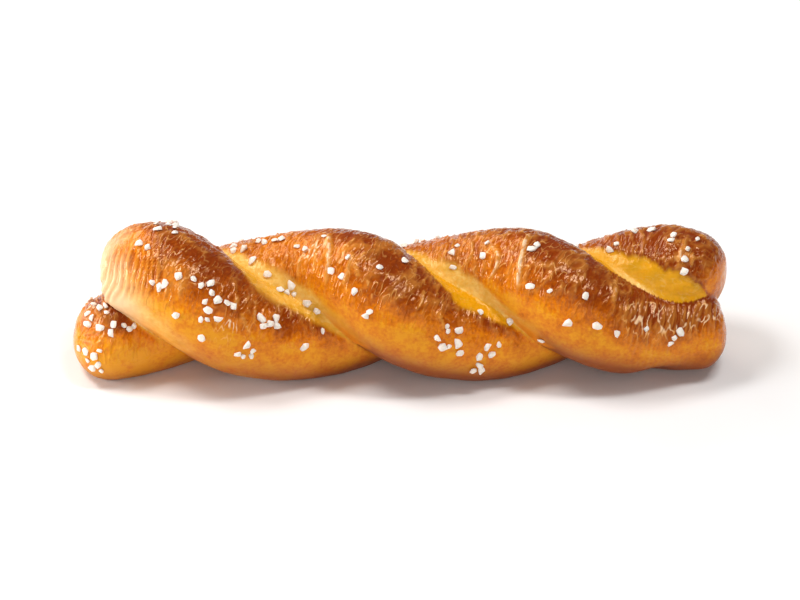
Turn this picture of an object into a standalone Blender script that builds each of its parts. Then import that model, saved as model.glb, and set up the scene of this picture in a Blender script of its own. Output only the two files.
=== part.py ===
"""Soft pretzel twist.

Two soft rolls of dough are wound round each other like a two-strand rope and baked
together on a tray.  The rolls have fused where they press on each other, so the bread is
one solid: a round-ended twist with a deep groove winding round it and an underside that
is flat wherever a roll sat on the tray.

The twist lies along X and rests on Z = 0.  Its origin is at the middle of its footprint.
"""

import math

import bmesh
import bpy
from mathutils import Vector

MM = 0.001

# Driving dimensions.  Lengths are in millimetres and angles in radians.

# The rope that both rolls follow: one turn, and where the first roll is on top.
TURN_LENGTH = 99.3
FIRST_TOP_AT = -67.0
# How far each roll's centre line stands from the twist's axis, and the sideways squeeze.
AXIS_TO_ROLL = 7.65
WIDTH_SQUEEZE = 0.96
# A hand-made twist doesn't turn evenly: it runs faster over the front than behind.
SWAY = 0.32
SWAY_LAG = -1.0
SECOND_SWAY = 0.125
SECOND_SWAY_LAG = -0.8
TIGHTEN_AT_ENDS = -0.19

# A roll's radius, and how much fatter it is on the diagonals where it bulges freely.
ROLL_RADIUS = 13.5
DIAGONAL_BULGE = 0.25
DIAGONAL_BULGE_LAG = 1.55

# Towards the ends the bread lifts a little, its left tips spread and its right tips close up.
HALF_LENGTH = 90.0
LEFT_SPREAD = 2.7
RIGHT_SPREAD = -0.9
LEFT_LIFT = 0.3
RIGHT_LIFT = 2.3

# Each roll: its angle at the start of the rope, its two tips, how long the rounding of
# each tip is, and how much fatter (or thinner, below zero) the roll gets towards it.
ROLLS = {
    "upper_roll": {
        "phase": 0.0,
        "tips": (-80.4, 87.8),
        "rounding": (18.2, 7.6),
        "swelling": (2.6, -1.4),
    },
    "lower_roll": {
        "phase": math.pi,
        "tips": (-87.9, 87.4),
        "rounding": (9.0, 22.0),
        "swelling": (-2.0, 3.0),
    },
}
# The tips are blunter than a ball: 2 would be a half ellipse, and more is squarer.
TIP_BLUNTNESS = 2.4

# The tray cuts both rolls off flat this far below the axis.  The block that cuts them is
# deeper than the dough that could hang below, and wider than the bread.
AXIS_TO_TRAY = 18.1
TRAY_BLOCK = (4 * HALF_LENGTH, 2 * HALF_LENGTH, 20.0)

# How finely the rolls are cut into rings.
RINGS_ALONG = 66
RINGS_PER_TIP = 7
TIP_START = math.radians(7.0)
RING_RESOLUTION = 11
# Points closer together than this are one.
WELD_DISTANCE = 0.01

CRUST_COLOUR = (0.62, 0.24, 0.045, 1.0)
CRUST_ROUGHNESS = 0.38
CREASE_ANGLE = math.radians(35.0)


def clear_scene():
    for old in list(bpy.data.objects):
        bpy.data.objects.remove(old, do_unlink=True)


def new_collection(name):
    collection = bpy.data.collections.new(name)
    bpy.context.scene.collection.children.link(collection)
    return collection


def roll_angle(x, phase):
    """Angle of a roll round the axis at x, from the top towards the front (-Y)."""
    even = 2 * math.pi * (x - FIRST_TOP_AT) / TURN_LENGTH + phase
    even += TIGHTEN_AT_ENDS * (x / HALF_LENGTH) ** 3
    sway = SWAY * math.sin(even + SWAY_LAG)
    return even + sway + SECOND_SWAY * math.sin(2 * even + SECOND_SWAY_LAG)


def roll_centre(x, phase):
    """Point of a roll's centre line at x."""
    left = max(0.0, -x / HALF_LENGTH)
    right = max(0.0, x / HALF_LENGTH)
    angle = roll_angle(x, phase)
    away = AXIS_TO_ROLL + LEFT_SPREAD * left ** 4 + RIGHT_SPREAD * right ** 4
    lift = LEFT_LIFT * left ** 3 + RIGHT_LIFT * right ** 3
    return Vector((x, -away * math.sin(angle) * WIDTH_SQUEEZE, away * math.cos(angle) + lift))


def roll_radius(x, phase, swelling):
    """Radius of a roll at x, before its tip is rounded."""
    left = max(0.0, -x / HALF_LENGTH)
    right = max(0.0, x / HALF_LENGTH)
    bulge = DIAGONAL_BULGE * math.cos(2 * roll_angle(x, phase) - DIAGONAL_BULGE_LAG)
    return ROLL_RADIUS + bulge + swelling[0] * left ** 3 + swelling[1] * right ** 3


def tip_profile(rounding):
    """Distance in from a tip, and share of the full radius, for each ring of a rounded tip."""
    power = 2 / TIP_BLUNTNESS
    rings = []
    for step in range(RINGS_PER_TIP):
        turn = TIP_START + (math.pi / 2 - TIP_START) * step / RINGS_PER_TIP
        rings.append((rounding * (1 - math.cos(turn) ** power), math.sin(turn) ** power))
    return rings


def roll_rings(tips, rounding):
    """Place along X and share of the full radius of every ring, from tip to tip."""
    first, last = tips
    rings = [(first + inward, share) for inward, share in tip_profile(rounding[0])]
    body_start = first + rounding[0]
    body_end = last - rounding[1]
    for step in range(RINGS_ALONG + 1):
        rings.append((body_start + (body_end - body_start) * step / RINGS_ALONG, 1.0))
    closing = [(last - inward, share) for inward, share in tip_profile(rounding[1])]
    return rings + closing[::-1]


def make_roll(name, roll, collection):
    """One rolled strand of dough: a tube along its winding centre line, as a closed mesh."""
    curve = bpy.data.curves.new(name, "CURVE")
    curve.dimensions = "3D"
    curve.bevel_depth = ROLL_RADIUS * MM
    curve.bevel_resolution = RING_RESOLUTION
    curve.use_fill_caps = True
    rings = roll_rings(roll["tips"], roll["rounding"])
    spline = curve.splines.new("POLY")
    spline.points.add(len(rings) - 1)
    for point, (x, share) in zip(spline.points, rings):
        point.co = (*(roll_centre(x, roll["phase"]) * MM), 1.0)
        radius = roll_radius(x, roll["phase"], roll["swelling"])
        point.radius = share * radius / ROLL_RADIUS
    guide = bpy.data.objects.new(name + "_guide", curve)
    collection.objects.link(guide)

    bpy.context.view_layer.update()
    evaluated = guide.evaluated_get(bpy.context.evaluated_depsgraph_get())
    mesh = bpy.data.meshes.new_from_object(evaluated)
    cleaner = bmesh.new()
    cleaner.from_mesh(mesh)
    bmesh.ops.remove_doubles(cleaner, verts=cleaner.verts, dist=WELD_DISTANCE * MM)
    bmesh.ops.recalc_face_normals(cleaner, faces=cleaner.faces)
    cleaner.to_mesh(mesh)
    cleaner.free()
    obj = bpy.data.objects.new(name, mesh)
    obj.matrix_world = guide.matrix_world
    collection.objects.link(obj)
    bpy.data.objects.remove(guide, do_unlink=True)
    bpy.data.curves.remove(curve)
    return obj


def make_tray_block(collection):
    """The space below the tray's surface, which the dough can't fill."""
    bpy.ops.mesh.primitive_cube_add(size=1.0)
    block = bpy.context.active_object
    block.name = "tray_block"
    for owner in list(block.users_collection):
        owner.objects.unlink(block)
    collection.objects.link(block)
    size = Vector(TRAY_BLOCK) * MM
    for vertex in block.data.vertices:
        vertex.co = vertex.co * size
        vertex.co.z -= AXIS_TO_TRAY * MM + size.z / 2
    return block


def add_boolean(obj, operation, cutter):
    modifier = obj.modifiers.new(cutter.name, "BOOLEAN")
    modifier.operation = operation
    modifier.solver = "EXACT"
    modifier.object = cutter


def hide_helper(obj):
    obj.hide_render = True
    obj.display_type = "WIRE"


def crust_material():
    material = bpy.data.materials.new("baked_crust")
    material.use_nodes = True
    shader = material.node_tree.nodes["Principled BSDF"]
    shader.inputs["Base Color"].default_value = CRUST_COLOUR
    shader.inputs["Roughness"].default_value = CRUST_ROUGHNESS
    shader.inputs["Metallic"].default_value = 0.0
    material.diffuse_color = CRUST_COLOUR
    return material


def bake_in_one_piece(name, rolls, block, collection):
    """Fuse the rolls, cut them flat at the tray and stand the bread on the origin."""
    fused = rolls[0]
    for other in rolls[1:]:
        add_boolean(fused, "UNION", other)
    add_boolean(fused, "DIFFERENCE", block)
    bpy.context.view_layer.update()
    evaluated = fused.evaluated_get(bpy.context.evaluated_depsgraph_get())
    mesh = bpy.data.meshes.new_from_object(evaluated)
    mesh.name = name

    low = [min(vertex.co[axis] for vertex in mesh.vertices) for axis in range(3)]
    high = [max(vertex.co[axis] for vertex in mesh.vertices) for axis in range(3)]
    foot = Vector(((low[0] + high[0]) / 2, (low[1] + high[1]) / 2, low[2]))
    for vertex in mesh.vertices:
        vertex.co -= foot
    mesh.shade_smooth()
    mesh.set_sharp_from_angle(angle=CREASE_ANGLE)
    mesh.materials.clear()
    mesh.materials.append(crust_material())

    bread = bpy.data.objects.new(name, mesh)
    collection.objects.link(bread)
    return bread


def main():
    clear_scene()
    bread_collection = new_collection("soft_pretzel_twist")
    helper_collection = new_collection("helpers")
    rolls = [make_roll(name, roll, helper_collection) for name, roll in ROLLS.items()]
    block = make_tray_block(helper_collection)
    bake_in_one_piece("pretzel_twist", rolls, block, bread_collection)
    for helper in [*rolls, block]:
        hide_helper(helper)


main()
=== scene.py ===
"""Soft pretzel twist: crust, salt and studio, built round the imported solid."""

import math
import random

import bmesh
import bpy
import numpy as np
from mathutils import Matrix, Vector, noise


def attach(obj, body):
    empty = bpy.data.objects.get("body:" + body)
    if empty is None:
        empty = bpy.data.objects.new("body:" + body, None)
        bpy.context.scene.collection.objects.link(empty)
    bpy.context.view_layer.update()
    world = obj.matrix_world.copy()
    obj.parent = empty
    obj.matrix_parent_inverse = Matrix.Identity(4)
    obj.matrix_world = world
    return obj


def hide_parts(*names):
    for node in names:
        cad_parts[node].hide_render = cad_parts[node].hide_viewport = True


bl_info = {
    "name": "Soft Pretzel Twist",
    "version": (1, 0, 0),
    "blender": (4, 5, 0),
    "location": "View3D > Sidebar > Pretzel",
    "description": "Builds the browned crust, the coarse salt and the studio of a twisted soft pretzel",
    "category": "Add Mesh",
}

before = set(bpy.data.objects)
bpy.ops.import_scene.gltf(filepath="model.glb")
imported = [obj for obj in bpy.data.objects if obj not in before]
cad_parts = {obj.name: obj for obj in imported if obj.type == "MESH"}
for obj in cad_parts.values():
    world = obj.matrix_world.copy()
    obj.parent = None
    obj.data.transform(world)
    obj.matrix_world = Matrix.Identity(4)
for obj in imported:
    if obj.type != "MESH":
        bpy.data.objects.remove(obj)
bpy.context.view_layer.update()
CAD_NODE = "pretzel_twist"
BODY = "root"
MM = 0.001

# The two rolls, as the solid has them.  Lengths are in millimetres, angles in radians.
TURN_LENGTH = 99.3
FIRST_TOP_AT = -67.0
AXIS_TO_ROLL = 7.65
WIDTH_SQUEEZE = 0.96
SWAY = 0.32
SWAY_LAG = -1.0
SECOND_SWAY = 0.125
SECOND_SWAY_LAG = -0.8
TIGHTEN_AT_ENDS = -0.19
ROLL_RADIUS = 13.5
DIAGONAL_BULGE = 0.25
DIAGONAL_BULGE_LAG = 1.55
HALF_LENGTH = 90.0
LEFT_SPREAD = 2.7
RIGHT_SPREAD = -0.9
LEFT_LIFT = 0.3
RIGHT_LIFT = 2.3
TIP_BLUNTNESS = 2.4
AXIS_TO_TRAY = 18.1
ROLLS = (
    {"phase": 0.0, "tips": (-80.4, 87.8), "rounding": (18.2, 7.6), "swelling": (2.6, -1.4)},
    {"phase": math.pi, "tips": (-87.9, 87.4), "rounding": (9.0, 22.0), "swelling": (-2.0, 3.0)},
)


# ---------------------------------------------------------------- shape of the rolls


def roll_angle(x, roll):
    """Angle of a roll round the twist's axis at x, from the top towards the front."""
    even = 2 * math.pi * (x - FIRST_TOP_AT) / TURN_LENGTH + roll["phase"]
    even = even + TIGHTEN_AT_ENDS * (x / HALF_LENGTH) ** 3
    sway = SWAY * np.sin(even + SWAY_LAG)
    return even + sway + SECOND_SWAY * np.sin(2 * even + SECOND_SWAY_LAG)


def roll_centre(x, roll):
    """Points of a roll's centre line, one row for each x."""
    left = np.maximum(0.0, -x / HALF_LENGTH)
    right = np.maximum(0.0, x / HALF_LENGTH)
    angle = roll_angle(x, roll)
    away = AXIS_TO_ROLL + LEFT_SPREAD * left ** 4 + RIGHT_SPREAD * right ** 4
    lift = LEFT_LIFT * left ** 3 + RIGHT_LIFT * right ** 3
    y = -away * np.sin(angle) * WIDTH_SQUEEZE
    return np.stack([x, y, away * np.cos(angle) + lift], axis=-1)


def roll_radius(x, roll):
    """Radius of a roll at x before its tips are rounded."""
    left = np.maximum(0.0, -x / HALF_LENGTH)
    right = np.maximum(0.0, x / HALF_LENGTH)
    bulge = DIAGONAL_BULGE * np.cos(2 * roll_angle(x, roll) - DIAGONAL_BULGE_LAG)
    return ROLL_RADIUS + bulge + roll["swelling"][0] * left ** 3 + roll["swelling"][1] * right ** 3


def tip_share(x, roll):
    """Share of the full radius that the rounded tips leave at x."""
    share = np.ones_like(x)
    inwards = (x - roll["tips"][0], roll["tips"][1] - x)
    for inward, rounding in zip(inwards, roll["rounding"]):
        depth = np.clip(inward / rounding, 0.0, 1.0)
        share = share * (1 - (1 - depth) ** TIP_BLUNTNESS) ** (1 / TIP_BLUNTNESS)
    return share


def tip_rings(rounding, spacing):
    """How far in from a tip its rings are cut, evenly spaced over the rounded skin."""
    turns = np.linspace(math.radians(3.0), math.pi / 2, 300)
    inward = rounding * (1 - np.cos(turns) ** (2 / TIP_BLUNTNESS))
    outward = ROLL_RADIUS * np.sin(turns) ** (2 / TIP_BLUNTNESS)
    arc = np.concatenate([[0.0], np.cumsum(np.hypot(np.diff(inward), np.diff(outward)))])
    return np.interp(np.arange(0.0, arc[-1] - spacing / 2, spacing), arc, inward)


def ring_places(roll, spacing):
    """Where along X the rings of a roll are cut, so that they are evenly spaced over its skin."""
    first, last = roll["tips"]
    body_start = first + roll["rounding"][0]
    body_end = last - roll["rounding"][1]
    body = np.linspace(body_start, body_end, round((body_end - body_start) / spacing))
    opening = first + tip_rings(roll["rounding"][0], spacing)
    closing = last - tip_rings(roll["rounding"][1], spacing)[::-1]
    return np.concatenate([opening, body, closing])


def nearest_on_roll(points, roll):
    """For each point: the x of the nearest place on a roll's centre line, and that place."""
    x = np.clip(points[:, 0], *roll["tips"])
    for _ in range(8):
        centre = roll_centre(x, roll)
        along = roll_centre(x + 0.5, roll) - roll_centre(x - 0.5, roll)
        step = np.sum((points - centre) * along, axis=1) / np.sum(along ** 2, axis=1)
        x = np.clip(x + step, *roll["tips"])
    return x, roll_centre(x, roll)


def roll_fields(points):
    """What the crust is shaped and coloured by, at each point, in the twist's own frame."""
    found = []
    for roll in ROLLS:
        x, centre = nearest_on_roll(points, roll)
        radius = roll_radius(x, roll) * tip_share(x, roll)
        out = points - centre
        clearance = np.linalg.norm(out, axis=1) - radius
        along = roll_centre(x + 0.5, roll) - roll_centre(x - 0.5, roll)
        along /= np.linalg.norm(along, axis=1)[:, None]
        outward = centre * np.array([0.0, 1.0, 1.0])
        outward /= np.linalg.norm(outward, axis=1)[:, None]
        sideways = np.cross(outward, along)
        unit = out / np.maximum(np.linalg.norm(out, axis=1), 1e-6)[:, None]
        side = np.sum(unit * sideways, axis=1)
        crest = np.sum(unit * outward, axis=1)
        found.append({"x": x, "clearance": clearance, "side": side, "crest": crest, "unit": unit})
    first = np.abs(found[0]["clearance"]) <= np.abs(found[1]["clearance"])
    fields = {}
    for key in ("x", "side", "crest"):
        fields[key] = np.where(first, found[0][key], found[1][key])
    fields["unit"] = np.where(first[:, None], found[0]["unit"], found[1]["unit"])
    fields["gap"] = np.where(first, found[1]["clearance"], found[0]["clearance"])
    fields["first"] = first
    return fields


# ---------------------------------------------------------------- small helpers


def ease(value, low, high):
    """0 below low, 1 above high and smooth between them."""
    share = np.clip((value - low) / (high - low), 0.0, 1.0)
    return share * share * (3 - 2 * share)


def grain(points, seed):
    """Smooth noise, from about -1 to 1, at each row of points."""
    shift = Vector((7.3 * seed, -3.1 * seed, 1.7 * seed))
    return np.array([noise.noise(Vector(point) + shift) for point in points.tolist()])


def link(obj):
    bpy.context.scene.collection.objects.link(obj)
    return obj


def evaluated_mesh(obj):
    """The mesh that an object's modifiers or bevel give."""
    bpy.context.view_layer.update()
    depsgraph = bpy.context.evaluated_depsgraph_get()
    return bpy.data.meshes.new_from_object(obj.evaluated_get(depsgraph))


def remove(obj):
    data = obj.data
    bpy.data.objects.remove(obj, do_unlink=True)
    if isinstance(data, bpy.types.Curve):
        bpy.data.curves.remove(data)
    elif isinstance(data, bpy.types.Mesh):
        bpy.data.meshes.remove(data)


def coordinates(mesh):
    flat = np.empty(len(mesh.vertices) * 3)
    mesh.vertices.foreach_get("co", flat)
    return flat.reshape(-1, 3)


def vertex_normals(mesh):
    flat = np.empty(len(mesh.vertices) * 3)
    mesh.vertices.foreach_get("normal", flat)
    return flat.reshape(-1, 3)


def set_attribute(mesh, name, values):
    attribute = mesh.attributes.new(name, "FLOAT", "POINT")
    attribute.data.foreach_set("value", np.asarray(values, dtype=np.float32))


def footprint_shift():
    """From the twist's own frame, in millimetres, to the part's, which stands on its footprint."""
    low = np.full(3, np.inf)
    high = np.full(3, -np.inf)
    for roll in ROLLS:
        x = np.linspace(*roll["tips"], 400)
        centre = roll_centre(x, roll)
        along = np.gradient(centre, axis=0)
        along /= np.linalg.norm(along, axis=1)[:, None]
        reach = (roll_radius(x, roll) * tip_share(x, roll))[:, None] * np.sqrt(1 - along ** 2)
        low = np.minimum(low, (centre - reach).min(axis=0))
        high = np.maximum(high, (centre + reach).max(axis=0))
    return np.array([-(low[0] + high[0]) / 2, -(low[1] + high[1]) / 2, AXIS_TO_TRAY])


# ---------------------------------------------------------------- the crust's shape


def roll_tube(name, roll, sizes):
    """One roll of dough as a closed tube along its winding centre line."""
    curve = bpy.data.curves.new(name, "CURVE")
    curve.dimensions = "3D"
    curve.bevel_depth = ROLL_RADIUS * MM
    curve.bevel_resolution = sizes.ring_resolution
    curve.use_fill_caps = True
    x = ring_places(roll, sizes.ring_spacing / MM)
    centres = roll_centre(x, roll) * MM
    shares = roll_radius(x, roll) * tip_share(x, roll) / ROLL_RADIUS
    spline = curve.splines.new("POLY")
    spline.points.add(len(x) - 1)
    for point, centre, share in zip(spline.points, centres, shares):
        point.co = (*centre, 1.0)
        point.radius = share
    guide = link(bpy.data.objects.new(name, curve))
    mesh = evaluated_mesh(guide)
    remove(guide)
    cleaner = bmesh.new()
    cleaner.from_mesh(mesh)
    bmesh.ops.remove_doubles(cleaner, verts=cleaner.verts, dist=0.001 * MM)
    bmesh.ops.recalc_face_normals(cleaner, faces=cleaner.faces)
    cleaner.to_mesh(mesh)
    cleaner.free()
    return link(bpy.data.objects.new(name, mesh))


def fused_rolls(sizes):
    """Both rolls joined into one closed skin, with the fold between them softened."""
    tubes = [roll_tube(f"roll_{index}", roll, sizes) for index, roll in enumerate(ROLLS)]
    for tube in tubes:
        finer = tube.modifiers.new("finer", "SUBSURF")
        finer.levels = 1
        finer.render_levels = 1
    union = tubes[0].modifiers.new("fuse", "BOOLEAN")
    union.operation = "UNION"
    union.solver = "MANIFOLD"
    union.object = tubes[1]
    mesh = evaluated_mesh(tubes[0])
    for tube in tubes:
        remove(tube)
    softener = bmesh.new()
    softener.from_mesh(mesh)
    bmesh.ops.remove_doubles(softener, verts=softener.verts, dist=0.02 * MM)
    softener.verts.ensure_lookup_table()
    points = np.array([vertex.co for vertex in softener.verts]) / MM
    gap = roll_fields(points)["gap"]
    fold = [softener.verts[index] for index in np.flatnonzero(gap < sizes.fold_softness / MM)]
    for _ in range(sizes.fold_passes):
        bmesh.ops.smooth_vert(softener, verts=fold, factor=0.5, use_axis_x=True, use_axis_y=True, use_axis_z=True)
    softener.to_mesh(mesh)
    softener.free()
    return mesh



# ---------------------------------------------------------------- the crust's surface

# Dough that the grooves bare on the front, by place along X: how wide it is in millimetres on
# the flank below each groove's upper roll and on the other one, how pale it is (above 1 it turns to a
# painted peach sheen), how high the torn crust stands over it and how soft its edge is.
FRONT_GROOVES = (
    (-88.0, 0.0, 0.0, 1.8, 0.0, 0.50),
    (-82.0, 17.0, 0.0, 1.8, 0.0, 0.50),
    (-76.0, 16.0, 0.0, 1.8, 0.0, 0.50),
    (-70.0, 12.0, 0.5, 1.2, 0.0, 0.45),
    (-58.0, 12.5, 0.5, 0.6, 0.0, 0.45),
    (-50.0, 3.5, 4.0, 0.6, 0.0, 0.40),
    (-46.0, 3.6, 7.0, 0.7, 0.0, 0.35),
    (-40.0, 4.2, 7.4, 1.0, 0.05, 0.25),
    (-33.0, 5.0, 5.8, 1.0, 0.05, 0.25),
    (-27.0, 5.2, 4.1, 1.0, 0.05, 0.25),
    (-21.0, 5.6, 2.6, 0.7, 0.05, 0.30),
    (-15.0, 7.0, 0.6, 0.3, 0.0, 0.35),
    (-9.0, 8.0, 0.0, 0.1, 0.0, 0.40),
    (-3.0, 3.0, 0.0, 0.2, 0.0, 0.40),
    (3.0, 3.6, 2.0, 0.5, 0.0, 0.35),
    (8.0, 4.2, 3.6, 0.6, 0.05, 0.25),
    (15.0, 5.6, 6.2, 0.75, 0.10, 0.20),
    (20.0, 5.2, 5.6, 0.85, 0.15, 0.20),
    (25.0, 4.2, 4.0, 1.0, 0.15, 0.20),
    (30.0, 4.6, 1.8, 0.8, 0.10, 0.20),
    (35.0, 6.6, 0.5, 0.4, 0.0, 0.30),
    (41.0, 7.0, 0.0, 0.2, 0.0, 0.35),
    (46.0, 3.0, 1.0, 0.2, 0.0, 0.35),
    (52.0, 3.0, 5.5, 0.4, 0.10, 0.20),
    (55.0, 4.0, 5.0, 0.3, 0.40, 0.10),
    (60.0, 6.0, 1.0, 0.2, 0.55, 0.07),
    (66.0, 8.2, 0.3, 0.1, 0.60, 0.06),
    (76.0, 8.2, 0.2, 0.0, 0.60, 0.06),
    (81.0, 5.6, 0.2, 0.0, 0.45, 0.08),
    (84.0, 0.0, 0.0, 0.0, 0.0, 0.10),
)
# The same behind, where the grooves are alike: by the angle in degrees from the twist's top.
BACK_GROOVES = (
    (-112.0, 0.0, 0.0, 0.2, 0.0, 0.40),
    (-90.0, 6.5, 1.5, 0.4, 0.0, 0.35),
    (-60.0, 5.4, 5.5, 0.9, 0.10, 0.25),
    (-35.0, 4.2, 5.0, 0.8, 0.05, 0.25),
)

# Long folds of the dried skin.  Each row: where it starts and ends along X, the angles from
# the top between which it runs, how far it bows out along X, its height and its half width.
FOLDS = (
    (-19.6, -20.2, -10, 34, 0.5, 0.75, 0.50),
    (-13.2, -15.6, 14, 38, 0.2, 0.55, 0.45),
    (-12.4, -11.4, 22, 34, 0.0, 0.45, 0.40),
    (-23.0, -23.6, -2, 20, 0.3, 0.40, 0.40),
    (-27.4, -27.9, 4, 20, 0.0, 0.40, 0.40),
    (24.3, 24.6, -5, 25, 2.3, 0.65, 0.45),
    (35.0, 32.0, -8, 38, -0.5, 0.85, 0.55),
    (19.6, 18.8, -16, 2, 0.6, 0.40, 0.40),
    (-44.4, -45.0, 48, 60, 0.0, 0.45, 0.40),
    (-43.2, -41.2, 62, 76, 0.0, 0.45, 0.35),
    (-39.6, -39.6, 60, 70, 0.0, 0.35, 0.35),
    (6.4, 4.8, 42, 58, 0.3, 0.50, 0.40),
    (10.0, 11.8, 62, 76, 0.3, 0.50, 0.35),
    (-59.4, -59.8, 36, 48, 0.0, 0.35, 0.35),
    (76.4, 76.2, -2, 8, 0.0, 0.50, 0.40),
    (79.6, 79.2, 2, 12, 0.0, 0.45, 0.35),
    (58.0, 57.6, 40, 52, 0.3, 0.50, 0.45),
)
STRAY_FOLDS = 70

# Where a hand pressed the dough or it swelled: place along X, angle from the top, how far
# it reaches and how high it stands (or how deep, below zero).
SWELLS = (
    (-62.0, -6, 8.0, 0.8),
    (-80.0, 52, 5.0, 2.2),
    (-52.0, 30, 4.0, -0.6),
    (-5.0, -8, 7.0, 0.9),
    (-24.0, 100, 7.0, -0.4),
    (36.0, 128, 8.0, 0.6),
    (58.5, -28, 7.0, 1.2),
    (70.0, 140, 5.0, -2.4),
    (83.0, 68, 5.0, -1.0),
    (84.0, 138, 4.5, 1.5),
    (91.0, 140, 5.0, -0.7),
    (87.0, 10, 6.0, 1.0),
)


# How near the twist's axis the middle of a swell can be.
LEAST_AWAY = 10.0

# Spots where the painted glints, pale lines that stand in for light caught by the dried skin, are
# densest: place along X, angle from the top, and how far each reaches along X and round the twist in degrees.
GLINT_SPOTS = (
    (-63.0, -14, 9.0, 22),
    (-70.0, 6, 5.0, 14),
    (-40.0, -10, 9.0, 16),
    (-24.0, 2, 9.0, 18),
    (-46.0, 70, 5.0, 14),
    (8.0, 2, 6.0, 14),
    (24.0, 6, 9.0, 16),
    (34.0, 16, 4.0, 18),
    (58.0, 34, 4.0, 12),
    (-84.0, 72, 5.0, 16),
)


def along_and_round(fields):
    """Place along X leaning a little with height, and the arc round the roll, in millimetres."""
    unit = fields["unit"]
    own_angle = np.arctan2(-unit[:, 1], unit[:, 2])
    return fields["x"] - 0.16 * unit[:, 2] * ROLL_RADIUS, own_angle * ROLL_RADIUS


def ridges(along, round_, apart, spacing, stretch, seed):
    """Sharp-crested noise, from 0 to 1, whose ridges run round the roll."""
    places = np.stack([along / spacing, round_ / (spacing * stretch), apart], axis=1)
    return np.clip(1 - 2.2 * np.abs(grain(places, seed)), 0.0, 1.0) ** 1.5


def fold_height(x, turn, folds):
    """Height of the long folds, given as rows like those of FOLDS."""
    height = np.zeros_like(x)
    for start, end, first_turn, last_turn, bow, rise, half_width in folds:
        share = (turn - first_turn) / (last_turn - first_turn)
        inside = np.flatnonzero((share > -0.2) & (share < 1.2) & (np.abs(x - start) < 12.0))
        share = share[inside]
        middle = start + (end - start) * share + bow * 4 * share * (1 - share)
        profile = np.exp(-(((x[inside] - middle) / half_width) ** 2))
        height[inside] = np.maximum(height[inside], rise * profile * ease(share, -0.15, 0.2) * ease(-share, -1.15, -0.8))
    return height


def stray_folds(count):
    """Rows of small folds scattered over what faces up all along the bread."""
    draw = random.Random(11)
    rows = []
    for _ in range(count):
        start = draw.uniform(-80.0, 82.0)
        first_turn = draw.uniform(-75, 45)
        rise = draw.uniform(0.2, 0.42)
        slant = draw.uniform(-1.2, 0.6)
        rows.append((start, start + slant, first_turn, first_turn + draw.uniform(8, 20), draw.uniform(-0.5, 0.5), rise, 0.35))
    return rows


def glint_spot_share(x, turn):
    """Share, from 0 to 1, of the spots where the painted glints are densest."""
    share = np.zeros_like(x)
    for place, angle, along, around in GLINT_SPOTS:
        share = np.maximum(share, np.exp(-(((x - place) / along) ** 2 + ((turn - angle) / around) ** 2)))
    return share


def swell_height(points, turn):
    """Height of the swells and hand prints."""
    away = np.hypot(points[:, 1], points[:, 2])
    spot_away = np.maximum(away, LEAST_AWAY)
    height = np.zeros_like(away)
    for place, angle, reach, rise in SWELLS:
        beside = away ** 2 + spot_away ** 2 - 2 * away * spot_away * np.cos(np.radians(turn - angle))
        height += rise * np.exp(-((points[:, 0] - place) ** 2 + beside) / reach ** 2)
    return height


def groove_dough(x, turn, fields, ragged):
    """Share of bare dough, how pale it is (above 1 a painted peach sheen), how high the crust's lip stands, and a
    line of painted shade beside the lip.
    """
    front_rows = np.array(FRONT_GROOVES).T
    back_rows = np.array(BACK_GROOVES).T
    in_front = ease(turn, -65.0, -35.0)
    front = np.array([np.interp(x, front_rows[0], row) for row in front_rows[1:]])
    back = np.array([np.interp(turn, back_rows[0], row) for row in back_rows[1:]])
    near, far, pale, lip, softness = back + (front - back) * in_front
    width = np.where(fields["side"] < 0, near, far) * ragged * ease(-turn, -118.0, -98.0)
    groove = fields["gap"] / 0.85
    dough = 1 - ease(groove / np.maximum(width, 0.05), 1 - softness, 1 + softness)
    pale = pale * np.maximum(ease(-fields["side"], -0.2, 0.4), 0.40 * ease(-x, 5.0, 20.0))
    pebbled = ease(-groove, -2.2, -0.4) * ease(x, 55.0, 59.0) * ease(-x, -72.0, -66.0)
    beyond = groove - width
    # Painted shade: a dark line just beyond the dough's edge where the crust is torn crisply.
    lip_shade_line = np.exp(-(((beyond - 0.7) / 0.9) ** 2)) * ease(-softness, -0.15, -0.08)
    return dough, np.maximum(pale, pebbled), lip, lip_shade_line


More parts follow.
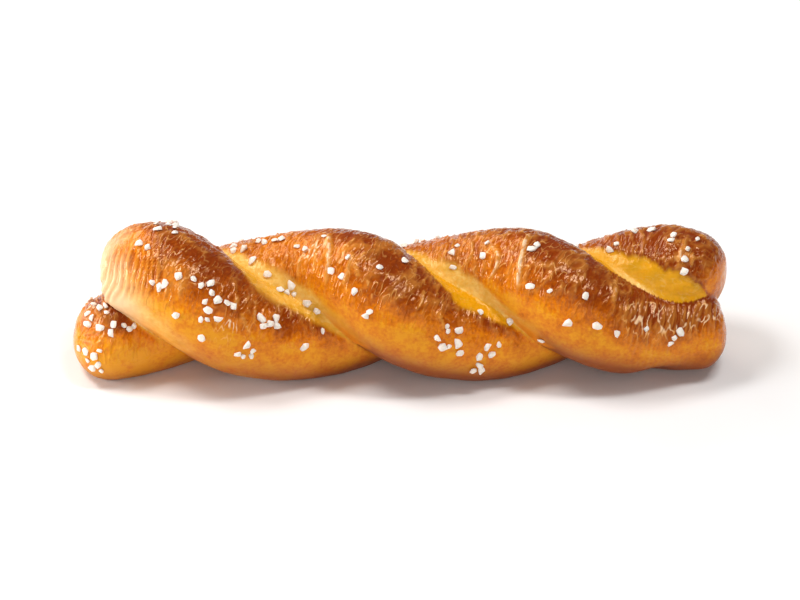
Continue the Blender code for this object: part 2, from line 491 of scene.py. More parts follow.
def crust_relief(points, up, fields, sizes):
    """Height of the crust above the smooth rolls, in millimetres, and the shares its colours follow, painted
    glints, highlights, sheen and shade among them.
    """
    x = points[:, 0]
    side = fields["side"]
    groove = fields["gap"] / 0.85
    turn = np.degrees(np.arctan2(-points[:, 1], points[:, 2]))
    apart = fields["first"] * 40.0
    along, round_ = along_and_round(fields)

    crisp_edge = ease(x, 50.0, 60.0)
    ragged = 1.0 + (0.22 - 0.12 * crisp_edge) * grain(points / 5.0, 1) + 0.10 * grain(points / 1.5, 2)
    dough, pale, lip, lip_shade_line = groove_dough(x, turn, fields, ragged)
    open_ends = ease(np.abs(x), 58.0, 72.0)

    # Wrinkles run across each roll on its dried upper side, and lower down at the ends.
    patches = ease(grain(points / 10.0, 3), -0.5, 0.3)
    dried = ease(up, 0.15 - 0.15 * open_ends, 0.70 - 0.20 * open_ends)
    dried = dried * (0.45 + 0.55 * patches) * (1 - 0.8 * dough) * ease(groove, 0.4, 3.5)
    warped = along + 1.0 * grain(points / 5.0, 4)
    spacing = sizes.wrinkle_spacing / MM
    crinkle = 0.7 * ridges(warped, round_, apart, spacing, 3.0, 5)
    crinkle = crinkle + 0.55 * ridges(warped, round_, apart, spacing * 0.5, 2.4, 6)
    upright = x - 0.20 * points[:, 2]
    right_pleated = ease(x, 57.0, 64.0) * ease(turn, 42.0, 56.0) * (1 - dough) * ease(groove, 0.4, 2.0)
    right_pleated = right_pleated * (0.4 * ease(-turn, -140.0, -112.0) + 0.6 * ease(-turn, -112.0, -80.0))
    left_pleated = ease(-x, 60.0, 67.0) * ease(turn, -10.0, 8.0) * ease(-turn, -52.0, -38.0)
    waved = upright + 0.8 * grain(points / 6.0, 15)
    even_pleats = (0.5 + 0.5 * np.sin(2 * math.pi * waved / sizes.pleat_spacing * MM)) ** 1.5
    short_pleats = ridges(waved, points[:, 2], apart, 1.4, 3.5, 17)
    pleats = left_pleated * even_pleats + right_pleated * (0.35 * even_pleats + 0.75 * short_pleats)
    pleated = np.maximum(left_pleated, right_pleated)
    wrinkle = dried * crinkle * (1 - 0.8 * pleated) + pleats
    # Painted shade: the pleat valleys on the left flank keep less of the pale dough.
    dough = dough * (1 - 0.5 * left_pleated * (1 - even_pleats))

    long_folds = fold_height(x, turn, FOLDS)
    folds = 1.3 * long_folds + fold_height(x, turn, stray_folds(STRAY_FOLDS))
    lumps = grain(points / 16.0, 7) * 0.6 + grain(points / 6.5, 8) * 0.4
    blisters = grain(points / 1.3, 9) * ease(up, 0.0, 0.6) * (1 - dough)
    threads = np.stack([x / 4.0, turn / 5.0, apart], axis=1)
    threads = grain(threads, 10) + 0.7 * grain(points / 1.1, 11)
    height = swell_height(points, turn)
    height += sizes.lump_height / MM * lumps * ease(groove, 0.5, 6.0)
    height += sizes.wrinkle_height / MM * wrinkle
    height += folds * (1 - dough) * ease(groove, 0.4, 3.0)
    height += sizes.blister_height / MM * blisters
    height += sizes.thread_height / MM * threads * dough * ease(groove, 0.0, 1.5)
    height -= lip * dough * ease(groove, 0.3, 2.0) * (side < 0)

    # The oven browns what faces up on each roll's shoulder; what faces down is darkened further below, partly tray
    # browning and partly painted shade.
    shoulder = ease(side + 0.25 * grain(points / 11.0, 14) + 0.7 * ease(x, 52.0, 66.0), -0.8, 0.2)
    facing_up = up + 0.15 * grain(points / 7.0, 16)
    toast = 0.20 + 0.62 * ease(facing_up, 0.40, 0.92) * shoulder
    toast += 0.30 * ease(facing_up, 0.10, 0.62)
    toast += 0.30 * ease(x, 36.0, 76.0) * (0.35 + 0.65 * ease(up, -0.1, 0.6)) - 0.12 * ease(-x, 50.0, 75.0)
    toast += 0.20 * grain(points / 5.0, 12) + 0.16 * grain(points / 2.0, 13)
    beside_dough = np.exp(-(((groove - 4.5) / 2.5) ** 2)) * ease(turn, 52.0, 66.0) * ease(-turn, -100.0, -84.0)
    # The second term paints a line of shade beside the torn lip.
    toast += 0.40 * beside_dough * ease(side, 0.5, 0.9) + 0.45 * lip_shade_line
    # Painted shade in the valleys of the left pleats.
    toast += 0.25 * left_pleated * (1 - even_pleats)
    toast += 0.16 * ease(x, 0.0, 12.0) * ease(-turn, -34.0, -10.0) * ease(up, 0.2, 0.7)
    # Painted glints: pale lines where the dried upper crust would catch the light, thickest on the glint spots and
    # on the pleated right shoulder.
    painted_glints = 0.62 * ease(up, 0.35, 0.80) * (0.45 + 0.55 * patches) * (1 - 0.45 * ease(side, 0.1, 0.6))
    painted_glints *= 1 - 0.4 * ease(x, 50.0, 60.0)
    glint_spot = glint_spot_share(x, turn)
    painted_glints = np.maximum(painted_glints, glint_spot * (0.75 + 0.25 * patches) * (1 - dough) * (1 - 0.45 * ease(x, -5.0, 5.0)))
    painted_glints = np.maximum(painted_glints, 0.9 * right_pleated * ease(up, 0.05, 0.5) * ease(-turn, -100.0, -82.0))
    painted_glints = painted_glints * (1 - lip_shade_line) * (1 - 0.7 * left_pleated)
    shares = {
        "toast": np.clip(toast, 0.0, 1.3),
        "dough": dough,
        "pale": pale,
        # Painted highlight share: wrinkle crests and folds, the long folds strongest; partly the drier crust's
        # paler tone.
        "dry_crest_and_highlight": np.clip(wrinkle + 1.5 * folds, 0.0, 1.3) + 2.0 * long_folds,
        "glaze": ease(up + 0.3 * open_ends, 0.0, 0.5) * (1 - 0.5 * dough),
        "painted_glints": np.clip(painted_glints, 0.0, 1.0),
        # Darker on all that faces down, more so right of the left end: partly crust baked on the tray, partly
        # painted shade.
        "tray_brown_and_shade": ease(-up, -0.05, 0.65) * (0.5 + 0.5 * ease(x, -60.0, 0.0)),
    }
    return height, shares


def bake(mesh, sizes):
    """Raise the crust's relief on the smooth skin and store what its colours follow."""
    points = coordinates(mesh) / MM
    normals = vertex_normals(mesh)
    fields = roll_fields(points)
    height, shares = crust_relief(points, normals[:, 2], fields, sizes)
    points += normals * height[:, None]
    # The tray flattens the underside, with a small round edge where the dough leaves it.
    over = points[:, 2] + AXIS_TO_TRAY
    soft = sizes.tray_edge / MM
    points[:, 2] = np.maximum(0.5 * (over + np.sqrt(over ** 2 + soft ** 2)) - soft / 2, 0.0) - AXIS_TO_TRAY
    points += footprint_shift()
    mesh.vertices.foreach_set("co", (points * MM).ravel())
    for name, values in shares.items():
        set_attribute(mesh, name, values)
    mesh.update()
    mesh.shade_smooth()


# ---------------------------------------------------------------- materials


# How far the finest wrinkles lean from straight across the bread, in radians.
RIDGE_LEAN = 0.45


def new_material(name):
    """A material with only its output and a Principled BSDF, and functions to add nodes."""
    material = bpy.data.materials.new(name)
    material.use_nodes = True
    tree = material.node_tree
    tree.nodes.clear()
    output = tree.nodes.new("ShaderNodeOutputMaterial")
    shader = tree.nodes.new("ShaderNodeBsdfPrincipled")
    tree.links.new(shader.outputs["BSDF"], output.inputs["Surface"])
    return material, tree, shader


def attribute_node(tree, name):
    node = tree.nodes.new("ShaderNodeAttribute")
    node.attribute_name = name
    return node.outputs["Fac"]


def noise_node(tree, grain_size, detail=2.0, distortion=0.0, seed=0.0, ridged=False, stretch=(1.0, 1.0, 1.0)):
    """Noise on object coordinates whose blobs, or leaning ridges, are grain_size metres apart."""
    coordinates_node = tree.nodes.new("ShaderNodeTexCoord")
    leaning = tree.nodes.new("ShaderNodeMapping")
    leaning.inputs["Rotation"].default_value = (0.0, 0.0, RIDGE_LEAN if ridged else 0.0)
    mapping = tree.nodes.new("ShaderNodeMapping")
    mapping.inputs["Location"].default_value = (seed, seed * 0.7, -seed)
    mapping.inputs["Scale"].default_value = [1 / (grain_size * share) for share in stretch]
    node = tree.nodes.new("ShaderNodeTexNoise")
    if ridged:
        node.noise_type = "RIDGED_MULTIFRACTAL"
        node.inputs["Offset"].default_value = 1.0
    node.inputs["Scale"].default_value = 1.0
    node.inputs["Detail"].default_value = detail
    node.inputs["Distortion"].default_value = distortion
    tree.links.new(coordinates_node.outputs["Object"], leaning.inputs["Vector"])
    tree.links.new(leaning.outputs["Vector"], mapping.inputs["Vector"])
    tree.links.new(mapping.outputs["Vector"], node.inputs["Vector"])
    return node.outputs["Fac"]


def ranged(tree, value, low, high, to_low=0.0, to_high=1.0):
    """A value moved from low..high to to_low..to_high, and held within them."""
    node = tree.nodes.new("ShaderNodeMapRange")
    node.clamp = True
    for name, number in (("From Min", low), ("From Max", high), ("To Min", to_low), ("To Max", to_high)):
        node.inputs[name].default_value = number
    tree.links.new(value, node.inputs["Value"])
    return node.outputs["Result"]


def calculate(tree, operation, first, second):
    node = tree.nodes.new("ShaderNodeMath")
    node.operation = operation
    for socket, value in zip(node.inputs, (first, second)):
        if isinstance(value, (int, float)):
            socket.default_value = value
        else:
            tree.links.new(value, socket)
    return node.outputs["Value"]


def blend_colours(tree, factor, first, second):
    node = tree.nodes.new("ShaderNodeMix")
    node.data_type = "RGBA"
    if isinstance(factor, (int, float)):
        node.inputs["Factor"].default_value = factor
    else:
        tree.links.new(factor, node.inputs["Factor"])
    for name, value in (("A", first), ("B", second)):
        socket = [s for s in node.inputs if s.name == name and s.type == "RGBA"][0]
        if isinstance(value, bpy.types.NodeSocket):
            tree.links.new(value, socket)
        else:
            socket.default_value = (*value[:3], 1.0)
    return [s for s in node.outputs if s.type == "RGBA"][0]


def bump(tree, height, distance, strength, normal=None):
    node = tree.nodes.new("ShaderNodeBump")
    node.inputs["Distance"].default_value = distance
    if isinstance(strength, (int, float)):
        node.inputs["Strength"].default_value = strength
    else:
        tree.links.new(strength, node.inputs["Strength"])
    tree.links.new(height, node.inputs["Height"])
    if normal is not None:
        tree.links.new(normal, node.inputs["Normal"])
    return node.outputs["Normal"]


def crust_material(colours):
    """Glossy lye crust: amber, toasted to chestnut brown, with pale dough in the groove, and with painted glints,
    highlights, sheen and shade.
    """
    material, tree, shader = new_material("baked_crust")
    toast, dough, pale, dry_crest_and_highlight, glaze, tray_brown_and_shade, painted_glints = (
        attribute_node(tree, name) for name in ("toast", "dough", "pale", "dry_crest_and_highlight", "glaze", "tray_brown_and_shade", "painted_glints")
    )
    cloud = noise_node(tree, 6 * MM, 3.0, 0.3, 1.0)
    speck = noise_node(tree, 0.9 * MM, 3.0, 0.2, 5.0)

    toasted = calculate(tree, "ADD", toast, ranged(tree, speck, 0.3, 0.7, -0.16, 0.16))
    toasted = calculate(tree, "ADD", toasted, ranged(tree, cloud, 0.3, 0.7, -0.10, 0.10))
    crust = blend_colours(tree, ranged(tree, toasted, 0.05, 0.35), colours.golden, colours.amber)
    crust = blend_colours(tree, ranged(tree, toasted, 0.35, 0.70), crust, colours.brown)
    crust = blend_colours(tree, ranged(tree, toasted, 0.70, 1.10), crust, colours.chestnut)
    # Painted highlight on wrinkle crests and folds, partly the drier crust's paler tone.
    crust = blend_colours(tree, ranged(tree, dry_crest_and_highlight, 0.3, 1.3, 0.0, 0.55), crust, colours.dry_crest_and_highlight)
    # Partly tray browning, partly painted shade: darker on all that faces down.
    crust = blend_colours(tree, ranged(tree, tray_brown_and_shade, 0.0, 0.9, 0.0, 0.95), crust, colours.underside_and_shade)
    worm = noise_node(tree, 1.15 * MM, 0.0, 0.25, 21.0, ridged=True, stretch=(1.0, 3.0, 3.0))
    broken = noise_node(tree, 2.2 * MM, 1.0, 0.0, 31.0)
    # Painted highlight: pale streaks along the long folds.
    painted_fold_highlight = calculate(tree, "MULTIPLY", ranged(tree, dry_crest_and_highlight, 1.4, 2.4, 0.0, 0.75), ranged(tree, broken, 0.42, 0.60))
    crust = blend_colours(tree, painted_fold_highlight, crust, colours.pale_painted_glint)
    # Painted glints: pale lines on the dried crust's fine wrinkles, paler where they are densest.
    crowded = calculate(tree, "ADD", worm, ranged(tree, painted_glints, 0.66, 1.0, 0.0, 0.15))
    painted_glint = calculate(tree, "MULTIPLY", ranged(tree, crowded, 0.78, 0.98), ranged(tree, broken, 0.46, 0.58))
    painted_glint = calculate(tree, "MULTIPLY", painted_glint, painted_glints)
    painted_glint_colour = blend_colours(tree, ranged(tree, painted_glints, 0.7, 1.0), colours.painted_glint, colours.pale_painted_glint)
    crust = blend_colours(tree, painted_glint, crust, painted_glint_colour)
    streak = calculate(tree, "MULTIPLY", pale, ranged(tree, cloud, 0.35, 0.65, 0.45, 1.0))
    groove = blend_colours(tree, streak, colours.yellow_dough, colours.pale_dough_and_glint)
    groove = blend_colours(tree, ranged(tree, speck, 0.40, 0.75, 0.0, 0.6), groove, colours.golden)
    olive = noise_node(tree, 3.5 * MM, 2.0, 0.4, 41.0, stretch=(2.0, 1.0, 1.0))
    groove = blend_colours(tree, ranged(tree, olive, 0.48, 0.66, 0.0, 0.5), groove, colours.olive_dough)
    # Painted glints: pale pebbly lines in the groove's dough.
    groove_glint = noise_node(tree, 1.4 * MM, 0.0, 0.6, 51.0, ridged=True, stretch=(2.4, 1.0, 1.0))
    groove_glint = calculate(tree, "MULTIPLY", ranged(tree, groove_glint, 0.70, 0.95), ranged(tree, broken, 0.45, 0.62))
    painted_groove_glint = calculate(tree, "MULTIPLY", groove_glint, ranged(tree, pale, 0.0, 0.6, 0.25, 0.7))
    groove = blend_colours(tree, painted_groove_glint, groove, colours.pale_dough_and_glint)
    # Painted sheen: where pale goes above 1, on the left flank, the dough turns peach.
    groove = blend_colours(tree, ranged(tree, pale, 1.0, 1.8), groove, colours.peach_dough_and_sheen)
    # Partly tray browning, partly painted shade: dough that faces down turns amber.
    groove = blend_colours(tree, ranged(tree, tray_brown_and_shade, 0.0, 0.8, 0.0, 0.8), groove, colours.amber)
    skin = blend_colours(tree, dough, crust, groove)
    tree.links.new(skin, shader.inputs["Base Color"])

    smear = noise_node(tree, 2.5 * MM, 2.0, 0.0, 9.0)
    satin = calculate(tree, "ADD", ranged(tree, glaze, 0.0, 0.8, 0.42, 0.14), ranged(tree, smear, 0.3, 0.7, -0.02, 0.08))
    tree.links.new(satin, shader.inputs["Roughness"])
    shader.inputs["Specular IOR Level"].default_value = 0.5
    shader.inputs["Specular Tint"].default_value = (*colours.gloss, 1.0)
    crisp = calculate(tree, "MULTIPLY", glaze, ranged(tree, dough, 0.0, 1.0, 1.0, 0.5))
    crackled = bump(tree, worm, 0.20 * MM, ranged(tree, crisp, 0.1, 0.9, 0.05, 1.0))
    blisters = bump(tree, speck, 0.06 * MM, ranged(tree, crisp, 0.1, 0.9, 0.3, 1.0), crackled)
    tree.links.new(blisters, shader.inputs["Normal"])
    return material


def salt_material(colours):
    """Dull white rock salt that lets a little light through."""
    material, tree, shader = new_material("rock_salt")
    frost = noise_node(tree, 0.8 * MM, 2.0, 0.0, 3.0)
    shade = blend_colours(tree, ranged(tree, frost, 0.35, 0.65), colours.salt, colours.salt_shade)
    tree.links.new(shade, shader.inputs["Base Color"])
    tree.links.new(ranged(tree, frost, 0.3, 0.7, 0.3, 0.55), shader.inputs["Roughness"])
    tree.links.new(bump(tree, frost, 0.1 * MM, 0.4), shader.inputs["Normal"])
    shader.inputs["Subsurface Weight"].default_value = 0.5
    shader.inputs["Subsurface Radius"].default_value = (1.0, 0.9, 0.85)
    shader.inputs["Subsurface Scale"].default_value = 1 * MM
    return material


def floor_material(settings):
    """Plain pale matt floor."""
    material, tree, shader = new_material("pale_floor")
    tone = noise_node(tree, 0.4, 2.0, 0.0, 2.0)
    shade = [channel * 0.985 for channel in settings.floor_colour]
    colour = blend_colours(tree, ranged(tree, tone, 0.3, 0.7), settings.floor_colour, shade)
    tree.links.new(colour, shader.inputs["Base Color"])
    shader.inputs["Roughness"].default_value = 0.9
    shader.inputs["Specular IOR Level"].default_value = 0.1
    return material


# ---------------------------------------------------------------- salt


# Where the salt fell on the front, in groups: the middle of each along X, its angle in degrees
# from the twist's top, how far its grains are strewn in millimetres and how many there are.
SALT_GROUPS = (
    (-84, 90, 2.5, 4),
    (-82, 64, 2.0, 4),
    (-76, 88, 3.0, 3),
    (-73, 93, 2.0, 2),
    (-87, 128, 2.0, 3),
    (-82, 113, 2.0, 2),
    (-84, 127, 2.5, 3),
    (-64, -6, 3.0, 6),
    (-69, 4, 2.5, 2),
    (-66, 36, 3.0, 3),
    (-60, 36, 0.5, 1),
    (-56, 39, 0.5, 1),
    (-52, 46, 2.5, 4),
    (-61, 63, 0.5, 1),
    (-53, 59, 2.5, 4),
    (-54, 80, 0.5, 1),
    (-47, 60, 2.5, 3),
    (-36, 73, 2.5, 5),
    (-42, 91, 2.5, 5),
    (-26, 102, 0.5, 1),
    (-21, 90, 0.5, 1),
    (-40, -13, 1.0, 1),
    (-36, 11, 1.5, 2),
    (-31, 34, 2.2, 4),
    (-25, 52, 0.5, 1),
    (-23, 67, 0.5, 1),
    (-28, -10, 4.0, 2),
    (-20, -7, 1.0, 1),
    (-17, 24, 3.0, 3),
    (-6, 26, 0.5, 1),
    (-12, 46, 0.5, 1),
    (-8, 66, 2.0, 2),
    (1, 16, 0.5, 1),
    (14, -5, 3.0, 2),
    (22, 0, 3.0, 2),
    (22, 66, 0.5, 1),
    (30, 82, 0.5, 1),
    (38, 94, 0.5, 1),
    (37, 5, 2.0, 2),
    (38, 36, 4.0, 2),
    (45, 69, 0.5, 1),
    (13, 84, 3.5, 6),
    (17, 95, 1.5, 2),
    (24, 108, 3.0, 4),
    (22, 120, 3.5, 3),
    (50, 49, 0.5, 1),
    (53, 71, 0.5, 1),
    (59, 80, 0.5, 1),
    (67, 80, 0.5, 1),
    (75, 91, 2.0, 3),
    (58, -13, 1.5, 2),
    (76, -14, 2.5, 2),
    (82, -16, 1.0, 1),
    (77, 9, 3.0, 3),
)


class SaltPlace:
    """One spot for a grain of salt: where, which way is out, and how big the grain is."""

    def __init__(self, point, out, size, spin):
        self.point = point
        self.out = out
        self.size = size
        self.spin = spin


def crust_spot(crust, x, turn):
    """Point and outward direction on the crust at x, turn degrees from the twist's top."""
    out = Vector((0.0, -math.sin(math.radians(turn)), math.cos(math.radians(turn))))
    axis = Vector(footprint_shift() * MM) + Vector((x * MM, 0.0, 0.0))
    found, spot, facing, _ = crust.ray_cast(axis + out * HALF_LENGTH * MM, -out)
    if not found:
        return None
    return spot, facing


def salt_groups(draw, back_groups):
    """The groups on the front, and others scattered evenly behind and over the top."""
    groups = list(SALT_GROUPS)
    for _ in range(back_groups):
        groups.append((draw.uniform(-84.0, 84.0), draw.uniform(-125.0, -22.0), 3.0, draw.choice((1, 1, 2, 3))))
    return groups


def salt_places(crust, sizes):
    """Spots for the grains, kept off each other and off the tray."""
    draw = random.Random(sizes.seed)
    taken = []
    for x, turn, spread, count in salt_groups(draw, sizes.back_groups):
        for _ in range(count):
            size = sizes.grain_size * draw.uniform(0.75, 1.25)
            for _ in range(sizes.tries):
                aside = draw.uniform(-spread, spread)
                round_by = math.degrees(draw.uniform(-spread, spread) / AXIS_TO_TRAY)
                found = crust_spot(crust, x + aside, turn + round_by)
                if found is None or found[0].z < size:
                    continue
                spot, out = found
                if all((spot - other.point).length > 0.42 * (size + other.size) for other in taken):
                    point = spot + out * size * (0.5 * sizes.flatness - sizes.sink)
                    taken.append(SaltPlace(point, out, size, draw.uniform(0, 2 * math.pi)))
                    break
    if not taken:
        raise RuntimeError("no grain of salt found a place on the crust")
    draw.shuffle(taken)
    return taken


def pebble(draw, sizes, chisel):
    """One chip of rock salt about 1 across: the hull of a few points, with its edges taken off."""
    chip = bmesh.new()
    for step in range(sizes.corners):
        turn = 2 * math.pi * (step + draw.uniform(0.1, 0.9)) / sizes.corners
        reach = 0.5 * draw.uniform(0.72, 1.1)
        level = draw.uniform(-0.5, 0.5)
        chip.verts.new((reach * math.cos(turn), reach * math.sin(turn), level * 0.6))
    for level in (-0.5, 0.5):
        for _ in range(3):
            chip.verts.new((draw.uniform(-0.3, 0.3), draw.uniform(-0.3, 0.3), level * draw.uniform(0.8, 1.0)))
    hull = bmesh.ops.convex_hull(chip, input=chip.verts[:])
    spare = [part for part in hull["geom_interior"] if isinstance(part, bmesh.types.BMVert)]
    bmesh.ops.delete(chip, geom=spare, context="VERTS")
    bmesh.ops.dissolve_limit(chip, angle_limit=math.radians(12.0), verts=chip.verts[:], edges=chip.edges[:])
    bmesh.ops.bevel(
        chip, geom=chip.edges[:], offset=0.035, segments=1, profile=0.5, affect="EDGES", clamp_overlap=True,
        material=-1,
    )
    for vertex in chip.verts:
        vertex.co.x *= 1 + chisel * vertex.co.y
        vertex.co.y *= 1 - chisel * vertex.co.x
    stretch = draw.uniform(1.0, 1.5)
    size = Vector((stretch ** 0.5 * 1.1, 1.1 / stretch ** 0.5, sizes.flatness * draw.uniform(0.85, 1.15)))
    bmesh.ops.scale(chip, vec=size, verts=chip.verts)
    return chip


def salt_piece(name, places, chisel, sizes, material):
    """All the grains of one kind, joined into one mesh."""
    draw = random.Random(f"{name} {sizes.seed}")
    joined = bmesh.new()
    for place in places:
        grain_mesh = pebble(draw, sizes, chisel * draw.uniform(0.4, 1.6))
        tilt = Matrix.Rotation(draw.uniform(-0.3, 0.3), 4, "X") @ Matrix.Rotation(place.spin, 4, "Z")
        stand = place.out.to_track_quat("Z", "Y").to_matrix().to_4x4()
        whole = Matrix.Translation(place.point) @ stand @ tilt @ Matrix.Scale(place.size, 4)
        bmesh.ops.transform(grain_mesh, matrix=whole, verts=grain_mesh.verts)
        scratch = bpy.data.meshes.new("grain")
        grain_mesh.to_mesh(scratch)
        grain_mesh.free()
        joined.from_mesh(scratch)
        bpy.data.meshes.remove(scratch)
    bmesh.ops.recalc_face_normals(joined, faces=joined.faces)
    mesh = bpy.data.meshes.new(name)
    joined.to_mesh(mesh)
    joined.free()
    mesh.shade_smooth()
    mesh.set_sharp_from_angle(angle=math.radians(38.0))
    mesh.materials.append(material)
    return link(bpy.data.objects.new(name, mesh))


# ---------------------------------------------------------------- user settings


def length(name, description, default):
    return bpy.props.FloatProperty(
        name=name, description=description, default=default, min=0.0, precision=5, unit="LENGTH"
    )


def colour(name, description, default):
    return bpy.props.FloatVectorProperty(
        name=name, description=description, default=default, min=0.0, max=1.0, size=3, subtype="COLOR"
    )


class CrustSizes(bpy.types.PropertyGroup):
    """Sizes of the crust's surface."""

    ring_spacing: length("Ring spacing", "Distance between the rings of each roll", 0.56 * MM)
    ring_resolution: bpy.props.IntProperty(
        name="Ring resolution", description="Half the points of each ring, less two", default=26, min=4, max=32
    )
    fold_softness: length("Fold softness", "Width beside the groove's fold that is rounded", 1.8 * MM)
    fold_passes: bpy.props.IntProperty(
        name="Fold passes", description="How often the fold is smoothed", default=20, min=0
    )
    lump_height: length("Lump height", "Unevenness of the hand-rolled dough", 0.5 * MM)
    wrinkle_spacing: length("Wrinkle spacing", "Distance from one wrinkle to the next", 2.2 * MM)
    wrinkle_height: length("Wrinkle height", "Height of the dried wrinkles", 0.52 * MM)
    pleat_spacing: length("Pleat spacing", "Distance between the even pleats near the ends", 1.55 * MM)
    blister_height: length("Blister height", "Height of the crust's small blisters", 0.10 * MM)
    thread_height: length("Thread height", "Height of the torn dough's threads", 0.20 * MM)
    tray_edge: length("Tray edge", "Rounding where the dough leaves the tray", 0.7 * MM)


class CrustColours(bpy.types.PropertyGroup):
    """Colours of the bread and its salt."""

    golden: colour("Golden", "Lightly baked crust", (0.84, 0.33, 0.006))
    amber: colour("Amber", "Evenly baked crust", (0.73, 0.190, 0.002))
    brown: colour("Brown", "Well baked crust", (0.44, 0.086, 0.001))
    chestnut: colour("Chestnut", "Toasted crust", (0.25, 0.034, 0.001))
    # Painted highlight on wrinkle crests, partly the drier crust's paler tone.
    dry_crest_and_highlight: colour("Ridge", "Tops of the wrinkles", (0.86, 0.36, 0.06))
    # Darkening of all that faces down: partly crust baked on the tray, partly painted shade.
    underside_and_shade: colour("Underside", "Crust baked on the tray", (0.24, 0.042, 0.001))
    # Pale dough, also the colour of the painted glints in the groove.
    pale_dough_and_glint: colour("Pale dough", "Dough that the oven hardly browned", (0.95, 0.62, 0.18))
    yellow_dough: colour("Yellow dough", "Egg-yellow dough deep in the groove", (0.80, 0.36, 0.001))
    # Palest dough, and the painted sheen on the left flank.
    peach_dough_and_sheen: colour("Peach dough", "Palest dough, stretched thin", (0.99, 0.70, 0.40))
    olive_dough: colour("Olive dough", "Darker streaks in the dough", (0.60, 0.29, 0.002))
    # Colour of the painted glints on the dried crust.
    painted_glint: colour("Flake", "Dry crests of the finest wrinkles", (1.0, 0.52, 0.15))
    # The same, paler, where the painted glints are densest and for the painted highlight on the long folds.
    pale_painted_glint: colour("Pale flake", "The same where the skin has dried most", (1.0, 0.76, 0.52))
    gloss: colour("Gloss", "Tint of the glaze's shine", (1.0, 0.68, 0.42))
    salt: colour("Salt", "Rock salt", (0.99, 0.91, 0.82))
    salt_shade: colour("Salt shade", "Duller parts of the salt", (0.97, 0.82, 0.70))


class SaltSizes(bpy.types.PropertyGroup):
    """Amount and size of the coarse salt."""

    back_groups: bpy.props.IntProperty(
        name="Groups behind", description="Groups of grains scattered over the back", default=42, min=0
    )
    grain_size: length("Grain size", "Usual width of a grain", 2.1 * MM)
    corners: bpy.props.IntProperty(name="Corners", description="Corners round a grain", default=8, min=4)
    flatness: bpy.props.FloatProperty(
        name="Flatness", description="Height of a grain as a share of its width", default=0.55, min=0.1, max=1.0
    )
    sink: bpy.props.FloatProperty(
        name="Sink", description="Share of a grain's width that is pressed into the crust", default=0.12, min=0.0
    )
    shard_share: bpy.props.FloatProperty(
        name="Shards", description="Share of the grains that are chiselled shards", default=0.35, min=0.0, max=1.0
    )
    tries: bpy.props.IntProperty(name="Tries", description="Tries to find room for a grain", default=12, min=1)
    seed: bpy.props.IntProperty(name="Seed", description="Draw of the scatter", default=4)


class StudioSettings(bpy.types.PropertyGroup):
    """Floor, lights and camera."""

    floor_size: length("Floor size", "Side of the square floor", 6.0)
    floor_colour: colour("Floor colour", "Pale floor", (0.97, 0.97, 0.97))
    camera_height: bpy.props.FloatProperty(
        name="Camera elevation", description="How far the camera looks down", default=math.radians(35.0),
        subtype="ANGLE", unit="ROTATION"
    )
    view_width: length("View width", "Width of the view at the bread", 0.2192)
    lens: bpy.props.FloatProperty(name="Lens", description="Focal length in millimetres", default=300.0)
    left_power: bpy.props.FloatProperty(name="Left light", description="Power in watts", default=4.2)
    top_power: bpy.props.FloatProperty(name="Top lights", description="Power of each in watts", default=2.9)
    front_power: bpy.props.FloatProperty(name="Front light", description="Power in watts", default=13.0)
    back_power: bpy.props.FloatProperty(name="Back light", description="Power in watts", default=3.0)
    sky: bpy.props.FloatProperty(name="Sky", description="Strength of the even light", default=0.18)


# ---------------------------------------------------------------- operators


class PRETZEL_OT_bake_crust(bpy.types.Operator):
    """Make the twisted loaf with its wrinkled, browned crust"""

    bl_idname = "pretzel.bake_crust"
    bl_label = "Bake Crust"

    def execute(self, context):
        sizes = context.scene.pretzel_crust
        mesh = fused_rolls(sizes)
        bake(mesh, sizes)
        mesh.name = "crust"
        mesh.materials.clear()
        mesh.materials.append(crust_material(context.scene.pretzel_colours))
        crust = link(bpy.data.objects.new("crust", mesh))
        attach(crust, BODY)
        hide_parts(CAD_NODE)
        return {"FINISHED"}


class PRETZEL_OT_sprinkle_salt(bpy.types.Operator):
    """Scatter coarse salt over the crust and press it in"""

    bl_idname = "pretzel.sprinkle_salt"
    bl_label = "Sprinkle Salt"

    def execute(self, context):
        crust = bpy.data.objects.get("crust")
        if crust is None:
            raise RuntimeError("bake the crust before sprinkling salt on it")
        sizes = context.scene.pretzel_salt
        places = salt_places(crust, sizes)
        shards = int(len(places) * sizes.shard_share)
        material = salt_material(context.scene.pretzel_colours)
        kinds = (("salt_shards", places[:shards], 0.7), ("salt_grains", places[shards:], 0.15))
        for name, kind_places, chisel in kinds:
            piece = salt_piece(name, kind_places, chisel, sizes, material)
            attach(piece, BODY)
        return {"FINISHED"}


def area_light(name, place, target, size, power, tint=(1.0, 1.0, 1.0)):
    data = bpy.data.lights.new(name, "AREA")
    data.shape = "RECTANGLE"
    data.size, data.size_y = size
    data.energy = power
    data.color = tint
    light = link(bpy.data.objects.new(name, data))
    aim = (Vector(target) - Vector(place)).to_track_quat("-Z", "Y")
    light.matrix_world = Matrix.Translation(place) @ aim.to_matrix().to_4x4()
    return light


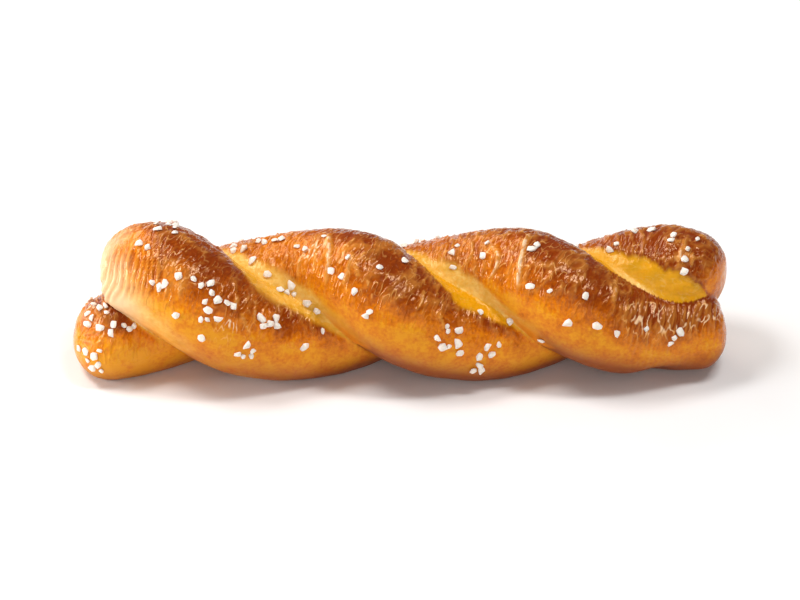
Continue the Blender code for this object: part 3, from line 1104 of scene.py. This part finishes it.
class PRETZEL_OT_set_studio(bpy.types.Operator):
    """Lay the pale floor and set up the lights and the camera"""

    bl_idname = "pretzel.set_studio"
    bl_label = "Set Studio"

    def execute(self, context):
        scene = context.scene
        settings = scene.pretzel_studio
        sheet = bmesh.new()
        bmesh.ops.create_grid(sheet, x_segments=1, y_segments=1, size=settings.floor_size / 2)
        mesh = bpy.data.meshes.new("floor")
        sheet.to_mesh(mesh)
        sheet.free()
        mesh.materials.append(floor_material(settings))
        floor = link(bpy.data.objects.new("floor", mesh))

        middle = Vector((0.0, footprint_shift()[1] * MM, AXIS_TO_TRAY * MM))
        area_light("left_light", (-0.86, -0.07, 0.21), middle, (0.28, 0.32), settings.left_power)
        area_light("top_left_light", (-0.38, 0.06, 0.74), middle, (0.26, 0.24), settings.top_power)
        area_light("top_right_light", (0.30, -0.06, 0.80), middle, (0.14, 0.36), settings.top_power)
        area_light("front_light", (0.20, -2.10, 0.95), middle, (3.0, 1.4), settings.front_power)
        area_light("back_light", (-0.50, 0.64, 0.52), middle, (0.60, 0.35), settings.back_power, (1.0, 0.90, 0.80))

        world = bpy.data.worlds.new("soft_sky")
        world.use_nodes = True
        world.node_tree.nodes["Background"].inputs["Color"].default_value = (1.0, 0.92, 0.86, 1.0)
        world.node_tree.nodes["Background"].inputs["Strength"].default_value = settings.sky
        scene.world = world

        data = bpy.data.cameras.new("camera")
        data.lens = settings.lens
        distance = settings.view_width * data.lens / data.sensor_width
        look = Vector((0.0, -math.cos(settings.camera_height), math.sin(settings.camera_height)))
        camera = link(bpy.data.objects.new("camera", data))
        upwards = Vector((0.0, math.sin(settings.camera_height), math.cos(settings.camera_height)))
        place = middle + look * distance + upwards * 1.0 * MM
        camera.matrix_world = Matrix.Translation(place) @ look.to_track_quat("Z", "Y").to_matrix().to_4x4()
        scene.camera = camera
        scene.view_settings.view_transform = "Standard"
        return {"FINISHED"}


class PRETZEL_PT_panel(bpy.types.Panel):
    """Steps and settings of the pretzel twist"""

    bl_idname = "PRETZEL_PT_panel"
    bl_label = "Soft Pretzel Twist"
    bl_space_type = "VIEW_3D"
    bl_region_type = "UI"
    bl_category = "Pretzel"

    def draw(self, context):
        scene = context.scene
        for step in STEPS:
            self.layout.operator(step.bl_idname)
        for name in SETTINGS:
            group = getattr(scene, name)
            box = self.layout.box()
            for setting in group.bl_rna.properties.keys():
                if setting not in ("rna_type", "name"):
                    box.prop(group, setting)


SETTINGS = {
    "pretzel_crust": CrustSizes,
    "pretzel_colours": CrustColours,
    "pretzel_salt": SaltSizes,
    "pretzel_studio": StudioSettings,
}
STEPS = (PRETZEL_OT_set_studio, PRETZEL_OT_bake_crust, PRETZEL_OT_sprinkle_salt)


def register():
    for group in SETTINGS.values():
        bpy.utils.register_class(group)
    for name, group in SETTINGS.items():
        setattr(bpy.types.Scene, name, bpy.props.PointerProperty(type=group))
    for step in STEPS:
        bpy.utils.register_class(step)
    bpy.utils.register_class(PRETZEL_PT_panel)


def unregister():
    bpy.utils.unregister_class(PRETZEL_PT_panel)
    for step in reversed(STEPS):
        bpy.utils.unregister_class(step)
    for name in SETTINGS:
        delattr(bpy.types.Scene, name)
    for group in reversed(list(SETTINGS.values())):
        bpy.utils.unregister_class(group)


def main():
    register()
    bpy.ops.pretzel.set_studio()
    bpy.ops.pretzel.bake_crust()
    bpy.ops.pretzel.sprinkle_salt()


if __name__ == "__main__":
    main()
